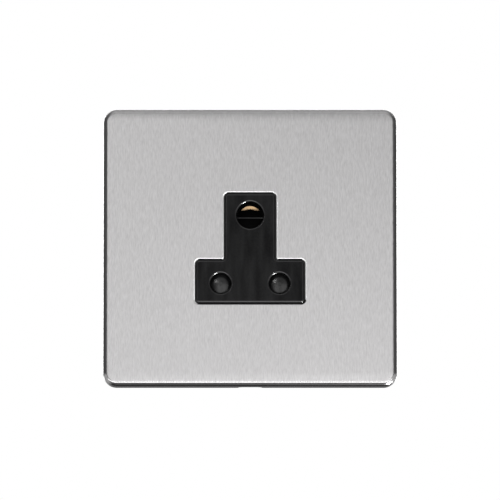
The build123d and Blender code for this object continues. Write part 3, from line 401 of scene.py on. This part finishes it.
def soft_fall(place, front):
    """How far the plate's face falls, how steeply, and the share of it that is left at the point's depth."""
    out = max(0.0, abs(place.z) - FALL_START)
    fall = FALL_CURVE * out * out
    slope = math.copysign(2 * FALL_CURVE * out, place.z)
    share = min(1.0, max(0.0, (front + ROLL_DEPTH - place.y) / ROLL_DEPTH))
    return fall, slope, share


def fallen_place(place, front):
    """Where a point of the plate lies once the face falls towards its rims."""
    fall, _, share = soft_fall(place, front)
    return place.x, place.y + fall * share, place.z


def fallen_normal(place, normal, front):
    """The normal at a point of the plate once the face falls towards its rims."""
    fall, slope, share = soft_fall(place, front)
    press = 1.0 - fall / ROLL_DEPTH if share > 0.0 else 1.0
    return Vector((normal.x, normal.y / press, normal.z - normal.y * slope * share / press)).normalized()


def pressed_plate():
    """The plate with a soft fall of its face towards the upper and lower rims."""
    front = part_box("front_plate")[0].y
    mesh = NODES["front_plate"].data.copy()
    flat = np.empty(len(mesh.loops) * 3, np.float32)
    mesh.corner_normals.foreach_get("vector", flat)
    mesh.attributes.new("flat_normal", "FLOAT_VECTOR", "CORNER").data.foreach_set("vector", flat)
    form = bmesh.new()
    form.from_mesh(mesh)
    for cut in range(FALL_CUTS):
        height = FALL_START + cut * FALL_STEP
        for z in (height, -height):
            everything = [*form.verts, *form.edges, *form.faces]
            bmesh.ops.bisect_plane(
                form, geom=everything, plane_co=(0, 0, z), plane_no=(0, 0, 1), dist=CUT_SNAP
            )
    layer = form.loops.layers.float_vector["flat_normal"]
    corners = [corner for face in form.faces for corner in face.loops]
    normals = [fallen_normal(corner.vert.co, corner[layer], front) for corner in corners]
    for vertex in form.verts:
        vertex.co = fallen_place(vertex.co, front)
    form.to_mesh(mesh)
    form.free()
    mesh.attributes.remove(mesh.attributes["flat_normal"])
    mesh.polygons.foreach_set("use_smooth", [True] * len(mesh.polygons))
    mesh.normals_split_custom_set(normals)
    stand_in("pressed_plate", mesh, "front_plate")


def return_coil():
    """The shutter's spring, shown by a copy of its CAD mesh."""
    coil = stand_in("return_coil", NODES["shutter_spring"].data.copy(), "shutter_spring")
    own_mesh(coil)


pressed_plate()
return_coil()


def studio_world():
    """White backdrop behind the part; a soft front light with dark sides and a dark floor in front of it."""
    world = bpy.data.worlds.new("studio")
    world.use_nodes = True
    tree = world.node_tree
    direction = tree.nodes.new("ShaderNodeTexCoord").outputs["Generated"]
    axes = tree.nodes.new("ShaderNodeSeparateXYZ")
    tree.links.new(direction, axes.inputs["Vector"])
    half = {}
    for name in ("X", "Y", "Z"):
        shifted = math_node(tree, "ADD", axes.outputs[name], 1.0)
        half[name] = math_node(tree, "MULTIPLY", shifted, 0.5)

    # Low to the left and right, which only other views reflect
    beside = grey_ramp(tree, half["X"], (0.20, 0.50), (0.34, 0.00), (0.66, 0.00), (0.80, 0.50))
    below = grey_ramp(tree, half["Z"], (0.42, 1.00), (0.52, 0.00))
    flanks = math_node(tree, "MULTIPLY", beside, below)

    # In front of the part
    upright = grey_ramp(
        tree, half["Z"],
        (0.00, 0.08), (0.10, 0.09), (0.13, 0.60), (0.36, 0.60), (0.50, 0.50), (0.64, 0.58), (1.00, 0.55),
    )
    across = grey_ramp(
        tree, half["X"],
        (0.00, 0.17), (0.14, 0.18), (0.26, 0.26), (0.38, 0.90), (0.50, 1.00),
        (0.62, 0.95), (0.74, 0.32), (0.86, 0.18), (1.00, 0.17),
    )
    front = math_node(tree, "MAXIMUM", math_node(tree, "MULTIPLY", upright, across), flanks)

    # Behind it: the backdrop as reflections show it, and as matt surfaces get it
    backdrop = grey_ramp(tree, half["Y"], (0.86, 0.07), (0.92, 1.00))
    horizon = grey_ramp(tree, half["Z"], (0.46, 0.08), (0.54, 1.00))
    overhead = grey_ramp(tree, half["Z"], (0.70, 0.00), (0.85, 0.32))
    shown = math_node(tree, "MAXIMUM", math_node(tree, "MULTIPLY", backdrop, horizon), flanks)
    shown = math_node(tree, "MAXIMUM", shown, overhead)
    rays = tree.nodes.new("ShaderNodeLightPath").outputs
    mirrored = math_node(tree, "MAXIMUM", rays["Is Glossy Ray"], rays["Is Transmission Ray"])
    behind = mix_node(tree, mirrored, BACKDROP, shown)

    # Front and back together, and plain white for the camera
    rear = grey_ramp(tree, half["Y"], (0.44, 0.0), (0.54, 1.0))
    light = mix_node(tree, rear, front, behind)
    seen = mix_node(tree, rays["Is Camera Ray"], light, 1.0)
    tree.links.new(seen, tree.nodes["Background"].inputs["Color"])
    bpy.context.scene.world = world


def track(direction):
    """Rotation that points an object's -Z along direction, with its Y up."""
    return Vector(direction).to_track_quat("-Z", "Y").to_euler()


def softbox(name, place, size, brightness, aim=(0, 0, 0), lights=True):
    """Area lamp that the camera doesn't see. Where lights is False, it only shows in reflections."""
    width, height = size
    lamp = bpy.data.lights.new(name, "AREA")
    lamp.shape = "RECTANGLE"
    lamp.size = width
    lamp.size_y = height
    lamp.energy = brightness * math.pi * width * height
    holder = bpy.data.objects.new(name, lamp)
    holder.location = place
    holder.rotation_euler = track([a - p for a, p in zip(aim, place)])
    holder.visible_camera = False
    holder.visible_diffuse = lights
    bpy.context.scene.collection.objects.link(holder)


def plain_floor():
    """Pale floor, well below the part as the wall's foot would be, which no reflection shows."""
    reach = FLOOR_SIZE / 2
    corners = [(-reach, -reach), (reach, -reach), (reach, reach), (-reach, reach)]
    mesh = bpy.data.meshes.new("floor")
    mesh.from_pydata([(x, y, FLOOR_Z) for x, y in corners], [], [(0, 1, 2, 3)])
    finish = Finish("floor")
    finish.colour(finish.noise(cell=(0.05, 0.05, 0.05)), dark=(0.80, 0.80, 0.80), light=(0.84, 0.84, 0.84))
    finish.constant(Roughness=0.9, Specular_IOR_Level=0.1)
    mesh.materials.append(finish.material)
    floor = bpy.data.objects.new("floor", mesh)
    bpy.context.scene.collection.objects.link(floor)
    floor.visible_glossy = False


def photo_camera():
    """The photograph's camera, which puts the plate where the photograph has it."""
    low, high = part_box("front_plate")
    aim = (
        (low.x + high.x) / 2 + (PHOTO_PX / 2 - PLATE_PX[0]) / PX_PER_M,
        low.y,
        (low.z + high.z) / 2 + (PLATE_PX[1] - PHOTO_PX / 2) / PX_PER_M,
    )
    back = (0.0, -math.cos(CAMERA_ELEVATION), math.sin(CAMERA_ELEVATION))
    lens = bpy.data.cameras.new("camera")
    lens.sensor_width = SENSOR_MM
    lens.lens = SENSOR_MM * CAMERA_DISTANCE * PX_PER_M / PHOTO_PX
    lens.clip_end = CAMERA_CLIP
    camera = bpy.data.objects.new("camera", lens)
    camera.location = [a + CAMERA_DISTANCE * b for a, b in zip(aim, back)]
    camera.rotation_euler = track([-b for b in back])
    bpy.context.scene.collection.objects.link(camera)
    bpy.context.scene.camera = camera


studio_world()
softbox("panel", place=(0.07, -0.80, -0.16), aim=(0.07, 0, -0.16), size=(0.50, 0.50), brightness=0.97)
softbox("low_card", place=(0, -0.50, -0.42), size=(1.00, 0.18), brightness=1.6, lights=False)
softbox("key", place=(-0.25, -1.2, 0.30), size=(0.05, 0.15), brightness=18.0)
softbox("spark", place=(0.25, -0.03, -0.43), size=(0.16, 0.16), brightness=130.0, lights=False)
softbox("back_fill", place=(0.0, 1.6, 0.32), size=(1.4, 0.5), brightness=6.0)
plain_floor()
photo_camera()
bpy.context.scene.view_settings.view_transform = "Standard"
